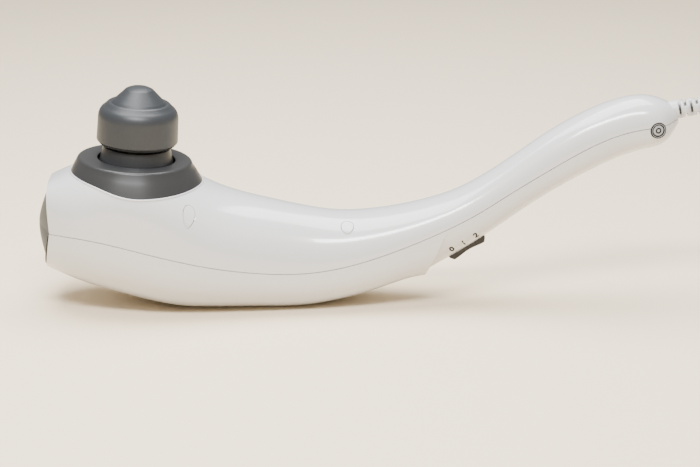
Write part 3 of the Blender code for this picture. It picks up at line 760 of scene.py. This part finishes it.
def make_cord(looks):
    """The mains lead as one round cord, and its length in millimetres."""
    line, length = cord_line()
    spots = [Vector(spot) * MM for spot in line]
    cord = bead("mains_lead", spots, CORD_RADIUS, looks["white_vinyl"], smooth=6)
    place(cord, "body", "white_vinyl", "mains_cord", "cord_coil")
    return cord, length


# ---- the pieces -------------------------------------------------------------------------------


def place(piece, body, slot, *nodes):
    """Says which body the piece rides on, and hides the CAD nodes it replaces. The slot is not used.
    """
    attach(piece, body)
    if nodes:
        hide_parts(*nodes)


def make_shells(looks, form):
    """The two half shells, with all their openings, and gloss that runs smoothly round them."""
    upper = half_shell("shell_upper", 1, looks["white_plastic"])
    cuts = [rod("bore", DRIVE_BORE, -40, 30, DRIVE, 128)]
    cuts += tail_cuts()
    for n, spot in enumerate(CASE_SCREWS, 1):
        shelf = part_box(f"screw_plug_{n}")[0].z / MM - 1.0
        cuts.append(plug_hole(f"hole {n}", spot, shelf, form))
    carve(upper, cuts)
    copy_normals(upper, form)
    place(upper, "body", "white_plastic", "upper_shell")
    lower = half_shell("shell_lower", -1, looks["white_plastic"])
    cuts = [block("belly flat", (-150, -60, -20), (30, 60, 0))]
    cuts += tail_cuts()
    cuts.append(block("slot", (-12.2, -5.6, -9), (12.2, 5.6, 8), None, SWITCH))
    carve(lower, cuts)
    copy_normals(lower, form)
    place(lower, "body", "white_plastic", "lower_shell")


def tail_cuts():
    """Cutters for the two openings that both halves share: the tail's hole and the badge's seat."""
    hole = rod("tail hole", TAIL_HOLE, -17, 20, TAIL_FRAME)
    return [hole, rod("badge seat", BADGE_SEAT, -1.8, 8, BADGE)]


def plug_frame(spot, form):
    """A frame on the shell's surface at a screw's place, leaning as its plug does."""
    x, y, lean = spot
    top = form[0].ray_cast(Vector((x, y, 150)) * MM, Vector((0, 0, -1)))[0].z / MM
    return at(x, y, top) @ turn(lean, "Y")


def plug_hole(name, spot, shelf, form):
    """A cutter for a round hole down to a shelf, whose rim takes the sharp edge off."""
    placed = plug_frame(spot, form)
    down = placed.to_3x3() @ Vector((0, 0, -1))
    low = shelf - placed.translation.z / MM
    above = 60  # outside the shell, where each ray starts
    rings = {"floor": [], "wall": [], "rim": [], "top": []}
    for k in range(72):
        out = Vector((math.cos(math.tau * k / 72), math.sin(math.tau * k / 72), 0))
        inner = out * (SCREW_PLUG_RADIUS + SCREW_PLUG_GAP)
        outer = out * (SCREW_PLUG_RADIUS + SCREW_PLUG_GAP + SCREW_PLUG_EASE)
        far = placed @ ((outer + Vector((0, 0, above))) * MM)
        edge = above - form[0].ray_cast(far, down)[3] / MM
        rings["floor"].append(inner + Vector((0, 0, low)))
        rings["wall"].append(inner + Vector((0, 0, edge - 0.15)))
        rings["rim"].append(outer + Vector((0, 0, edge + 0.02)))
        rings["top"].append(outer + Vector((0, 0, 40.0)))
    rings = [np.array([placed @ (point * MM) / MM for point in ring]) for ring in rings.values()]
    return loft(name, rings, None)


def make_screw_plugs(looks, form):
    """Flush round plugs, each with its top on the shell's own surface."""
    for n, spot in enumerate(CASE_SCREWS, 1):
        low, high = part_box(f"screw_plug_{n}")
        placed = plug_frame(spot, form)
        foot = (low.z - placed.translation.z) / MM
        top = (high.z - placed.translation.z) / MM + 6
        plug = rod(f"case_plug_{n}", SCREW_PLUG_RADIUS, foot, top, placed, 72)
        plug.data.materials.append(looks["white_plastic"])
        trim_to_shell(plug)
        soften(plug, SCREW_PLUG_EASE, 3)
        copy_normals(plug, form, reach=0.1, spread=0.95)
        place(plug, "body", "white_plastic", f"screw_plug_{n}")


def trim_to_shell(thing):
    """Cuts off what stands outside the shell's outer surface."""
    rings = [whole_outline(row) for row in station_values()]
    carve(thing, [loft("whole body", rings, None)], "INTERSECT")


def smoothed(values, reach):
    """A ring of values, each averaged with its neighbours within reach."""
    size, near = len(values), range(-reach, reach + 1)
    return [sum(values[(k + n) % size] for n in near) / len(near) for k in range(size)]


def collar_foot(form):
    """Each direction round the drive's axis, with the radius and the drop of the collar's
    lower edge there, which stands on the shell."""
    facets = 192
    down = DRIVE.to_3x3() @ Vector((0, 0, -1))
    outs, feet, drops = [], [], []
    for k in range(facets):
        angle = math.tau * k / facets
        out = Vector((math.cos(angle), math.sin(angle), 0))
        foot = COLLAR_FOOT[0] + COLLAR_FOOT[1] * out.x + COLLAR_FOOT[2] * out.y**4
        outs.append(out)
        feet.append(foot)
        drops.append(form[0].ray_cast(DRIVE @ (out * foot * MM), down)[3] / MM)
    return list(zip(outs, feet, smoothed(drops, 5)))


def make_collar(looks, form):
    """The collar round the drive, with a lower edge that follows the shell."""
    step = 3.4  # from the top down to the sloping wall
    columns = []
    for out, foot, drop in collar_foot(form):
        rim = COLLAR_RIM[0] + COLLAR_RIM[1] * out.x
        shoulder = rim + 1.0
        top = [(COLLAR_HOLE, 0.0, 0.7), (rim - 0.5, 0.0, 2.4)]
        profile = filleted([(COLLAR_HOLE, -6.0)] + top + [(shoulder, -step)], 8)
        for t in (0.2, 0.4, 0.6, 0.8, 1.0):
            profile.append((shoulder + (foot - shoulder) * t**0.9, -step - (drop - step) * t))
        profile += [(foot - 1.2, -drop - 1.0), (COLLAR_HOLE + 4.0, -8.0)]
        columns.append([tuple(out * r + Vector((0, 0, z))) for r, z in profile])
    verts, numbers = numbered(columns)
    faces = skin(zip(numbers, numbers[1:] + numbers[:1]), len(columns[0]))
    collar = object_of("neck_collar", verts, faces, looks["collar_plastic"], DRIVE)
    place(collar, "body", "grey_plastic", "collar")


def make_collar_lip(looks, form):
    """The shell's thin raised lip round the collar's foot."""
    spots = []
    for out, foot, drop in collar_foot(form):
        near = DRIVE @ ((out * (foot + 0.35) + Vector((0, 0, -drop))) * MM)
        spots.append(form[0].find_nearest(near)[0])
    lip = bead("collar_lip", spots, LIP_RADIUS, looks["white_plastic"], closed=True)
    place(lip, "body", "white_plastic")


def make_front_cap(looks):
    """The nose cap: a shallow cone with a round tip, seated in the mouth."""
    rim = whole_outline(station_values()[0], WALL + 0.5) + (0.8, 0.0, 0.0)
    tip = np.array(CAP_TIP)
    scales = np.concatenate([[0.01, 0.03], np.linspace(0.06, 0.96, 31), [0.985, 1.0]])
    rings = []
    for scale in scales:
        blunt = math.sqrt(scale**2 + 0.004) - 0.0632  # level at the tip, then like the scale
        rings.append(tip + (rim - tip) * scale - (CAP_BULGE * (1 - blunt**1.45), 0.0, 0.0))
    rings[-1] = rings[-1] + (0.3, 0.0, 0.0)
    rings.append(rim + (6.0, 0.0, 0.0))  # the foot, and then the hollow inside
    for scale in (0.9, 0.5, 0.1):
        depth = CAP_BULGE * (1 - scale**1.5) - 2.2 - 2.0 * (scale == 0.9)
        rings.append(tip + (rim - tip) * scale - (depth, 0.0, 0.0))
    cap = loft("nose_cap", rings, looks["cap_plastic"])
    place(cap, "body", "cap_plastic", "front_cap")


def make_cap_shadow_line(looks):
    """The dark bead along the lower half's mouth, where the nose cap stands a little proud of it, is
    painted shade: it stands for the shadow gap between the cap and the shell.
    """
    mouth = station_values()[0]
    outline = half_outline(mouth, -1, WALL + 0.2)[2:-2] - (0.7, 0.0, 0.0)
    spots = [Vector(spot) * MM for spot in outline]
    # a black bead as painted shade in the gap under the cap
    edge = bead("cap_shadow_line", spots, 0.6, looks["black_nylon"])
    place(edge, "body", "dark_plastic")


def make_massage_head(looks):
    """The head: a blunt tip on a cone, a ring, a full round shoulder, and the socket inside.
    Each corner is a radius and a height on the drive's axis, and the size of its rounding."""
    crown = [(0, 46.9), (3.0, 46.8), (5.5, 46.4), (8.6, 45.1, 3.0), (16.3, 37.4, 0.9)]
    ring = [(17.5, 35.9, 0.5), (18.9, 36.6, 0.7), (20.0, 35.9, 0.8)]
    shoulder = []
    for degrees in range(58, -1, -4):
        across = math.cos(math.radians(degrees)) ** (2 / 2.4)
        up = math.sin(math.radians(degrees)) ** (2 / 2.4)
        shoulder.append((16.6 + 8.9 * across, 25.6 + 9.6 * up))
    skirt = [(25.8, 12.0, 1.4), (24.0, 9.9, 0.8), (22.8, 9.9, 0.3), (22.6, 10.6)]
    socket = [(9.6, 10.6), (9.6, 25.0), (0, 25.0)]
    profile = filleted(crown + ring + shoulder + skirt + socket, 7)
    head = lathe("applicator_head", profile, looks["grey_plastic"], facets=160, sharp=40)
    place(head, "head", "grey_plastic", "massage_head")


def make_neck(looks):
    """The sliding neck: a spigot with an O-ring groove, a step, and a skirt in the collar."""
    spigot = [(4.6, 24.0), (9.2, 24.0, 0.6), (9.2, 20.6), (8.1, 20.6), (8.1, 18.4), (9.2, 18.4)]
    step = [(9.2, 10.2), (18.6, 10.2), (18.6, 8.2), (21.3, 7.9, 0.4)]
    skirt = [(21.7, 6.0, 4.0), (23.3, -1.0, 4.0), (23.7, -3.0), (23.7, -11.0)]
    inside = [(21.6, -11.0), (21.6, -3.0), (19.6, 5.0), (2.4, 5.0), (2.4, 19.0), (4.6, 19.0)]
    profile = filleted(spigot + step + skirt + inside, 6)
    neck = lathe("sliding_neck", profile, looks["neck_plastic"], facets=128, ring=True)
    place(neck, "plunger", "grey_plastic", "neck_sleeve")


def make_switch(looks):
    """The switch's frame, hollowed lengthwise by a shallow scoop, and its grooved knob."""
    half_long, half_wide = SWITCH_HALF
    reach = 11.2
    scoop = []
    for x in np.linspace(-reach, reach, 21):
        scoop.append((x, 2.9 - 1.0 * math.cos(math.pi * x / (2 * reach)) ** 2))
    start = [(-half_long, -SWITCH_DEPTH), (-half_long, 0.2)]
    outline = start + scoop + [(half_long, 0.2), (half_long, -SWITCH_DEPTH)]
    ends = [[(x, y, z) for x, z in outline] for y in (-half_wide, half_wide)]
    bezel = loft("switch_frame", ends, looks["dark_plastic"])
    bezel.data.transform(SWITCH)
    soften(bezel, 0.7)
    carve(bezel, [block("knob slot", (-9.6, -3.1, -9), (9.6, 3.1, 9), None, SWITCH)])
    place(bezel, "body", "dark_plastic", "switch_bezel")
    grip = looks["grey_plastic"]
    knob = block("switch_slider", (-3.6, -2.7, -3.7), (3.6, 2.7, 2.3), grip, SWITCH)
    grooves = [
        block(f"groove {along}", (along - 0.35, -4, 1.8), (along + 0.35, 4, 4), None, SWITCH)
        for along in KNOB_GROOVES
    ]
    carve(knob, grooves)
    soften(knob, 0.15, 2)
    place(knob, "switch_slider", "grey_plastic", "switch_knob")


def flat_text(text, placed):
    """The flat mesh of a few written characters."""
    writing = bpy.data.curves.new("mark", "FONT")
    writing.body = text
    writing.size = MARK_SIZE * MM
    writing.align_x = writing.align_y = "CENTER"
    writing.offset = 0.3 * MM
    letter = bpy.data.objects.new("mark", writing)
    bpy.context.scene.collection.objects.link(letter)
    letter.matrix_world = placed
    bpy.context.view_layer.update()
    graph = bpy.context.evaluated_depsgraph_get()
    mesh = bpy.data.meshes.new_from_object(letter.evaluated_get(graph), depsgraph=graph)
    mesh.transform(placed)
    bpy.data.objects.remove(letter, do_unlink=True)
    return mesh


def lay_on(mesh, form, aim):
    """Throws a flat mesh along the aim onto the surface, and makes it a thin closed layer."""
    fine = bmesh.new()
    fine.from_mesh(mesh)
    bmesh.ops.remove_doubles(fine, verts=fine.verts, dist=0.01 * MM)
    bmesh.ops.triangulate(fine, faces=fine.faces)
    bmesh.ops.subdivide_edges(fine, edges=fine.edges, cuts=2)
    for vert in fine.verts:
        hit, normal, _, _ = form[0].ray_cast(vert.co, aim)
        vert.co = hit - normal * MARK_DEPTH * MM
    raised = bmesh.ops.extrude_face_region(fine, geom=fine.faces[:])
    for vert in raised["geom"]:
        if isinstance(vert, bmesh.types.BMVert):
            vert.co += form[0].find_nearest(vert.co)[1] * (MARK_DEPTH + MARK_HEIGHT) * MM
    bmesh.ops.recalc_face_normals(fine, faces=fine.faces)
    fine.to_mesh(mesh)
    fine.free()


def make_marks(looks, form):
    """The switch's printed positions, 0, 1 and 2, laid on the flank of the handle."""
    beside = at(*SWITCH_SPOT) @ turn(-HANDLE_SLOPE, "Y")
    for text, along, up in SWITCH_MARKS:
        mesh = flat_text(text, beside @ at(along, -40, up) @ turn(90, "X"))
        lay_on(mesh, form, Vector((0, 1, 0)))
        mesh.materials.clear()
        mesh.materials.append(looks["ink"])
        mesh.name = f"switch_mark_{text}"
        mark = bpy.data.objects.new(f"switch_mark_{text}", mesh)
        bpy.context.scene.collection.objects.link(mark)
        place(mark, "body", "dark_plastic")


def make_badge(looks):
    """A plain round badge: a dark rim with a thin bright ring in it, and a bright disc in the
    middle with a dark ring and dot."""
    rim = filleted([(3.4, -1.5), (3.4, 0.12), (5.15, 0.3, 0.25), (5.15, -1.5)])
    line = [(4.15, -0.5), (4.15, 0.3), (4.4, 0.34), (4.4, -0.5)]
    mark = [(1.0, -0.5), (1.0, 0.24), (1.9, 0.24), (1.9, -0.5)]
    rings = [
        ("badge_rim", rim, "badge_dark", "dark_plastic", ["badge_ring"]),
        ("badge_line", line, "badge_silver", "silver_foil", []),
        ("badge_mark", mark, "badge_dark", "dark_plastic", []),
    ]
    for name, profile, look, slot, nodes in rings:
        ring = lathe(name, profile, looks[look], BADGE, 96, ring=True)
        place(ring, "body", slot, *nodes)
    face = filleted([(0, 0.16), (3.0, 0.1, 0.2), (3.3, -0.1), (3.3, -1.5), (0, -1.5)])
    disc = lathe("badge_face", face, looks["badge_silver"], BADGE, 96)
    place(disc, "body", "silver_foil", "badge_disc")


def make_strain_relief(looks):
    """The sleeve round the lead's first run: a cone on a flange, with slots on two sides that
    are turned a quarter from each pair to the next."""
    bore = CORD_RADIUS + 0.05
    cone = [(bore, RELIEF_LENGTH), (4.4, RELIEF_LENGTH, 0.6), (5.9, 0)]
    flange = [(5.9, -12.0), (7.2, -12.0), (7.2, -15.0), (bore, -15.0)]
    profile = filleted(cone + flange)
    relief = lathe("cord_sleeve", profile, looks["white_vinyl"], TAIL_FRAME, 96, ring=True)
    cuts = []
    for n in range(RELIEF_SLOTS):
        low = 0.5 + SLOT_PITCH * n
        high = low + SLOT_WIDTH
        placed = TAIL_FRAME @ turn(90 * ((n + 1) % 2), "Z")
        for near, far in ((-9.0, -2.2), (2.2, 9.0)):
            cuts.append(block(f"slot {n}", (near, -9, low), (far, 9, high), None, placed, 0.3, 2))
    carve(relief, cuts)
    place(relief, "body", "white_vinyl", "strain_relief")
    return relief


def make_relief_shade_core(looks):
    """An inner sleeve under the strain relief, coloured dark as painted shade, so that the bottoms of
    the relief's slots look shaded.
    """
    inner = CORD_RADIUS + 0.1
    outer = inner + 0.45
    wall = [(inner, 40.0), (outer, 40.0), (outer, -2.0), (inner, -2.0)]
    # black as painted shade at the bottom of the slots
    core = lathe("sleeve_shade_core", wall, looks["black_nylon"], TAIL_FRAME, 64, ring=True)
    place(core, "body", "dark_plastic")


def make_plug(looks):
    """A flat plug with gripping grooves in its sides, seats for its pins, and a short tail."""
    plug = block("power_plug", (-13, -11, -7), (15, 11, 7), looks["white_vinyl"], PLUG, 2.6, 5)
    end = PLUG_TAIL + 2
    tail = [(0, end), (3.8, end), (5, 12), (0, 12)]
    carve(plug, [lathe("plug tail", tail, None, PLUG @ turn(90, "Y"), 64)], "UNION")
    cuts = []
    for along in PLUG_GRIPS:
        for side in (-11.4, 11.4):
            low, high = (along - 0.6, side - 1, -5), (along + 0.6, side + 1, 5)
            cuts.append(block(f"grip {along}", low, high, None, PLUG))
    for y in (-PIN_SPREAD, PIN_SPREAD):
        cuts.append(block("pin seat", (-16, y - 0.95, -3.3), (-6, y + 0.95, 3.3), None, PLUG))
    carve(plug, cuts)
    place(plug, "body", "white_vinyl", "mains_plug")
    return plug


make_camera()
looks = {**shell_looks(), **inner_looks()}
dress_nodes(looks)
cord, cord_length = make_cord(looks)
form = outer_form()
relief = make_strain_relief(looks)
make_relief_shade_core(looks)
plug = make_plug(looks)
make_studio()
make_shells(looks, form)
make_screw_plugs(looks, form)
make_collar(looks, form)
make_collar_lip(looks, form)
make_front_cap(looks)
make_cap_shadow_line(looks)
make_massage_head(looks)
make_neck(looks)
make_switch(looks)
make_marks(looks, form)
make_badge(looks)
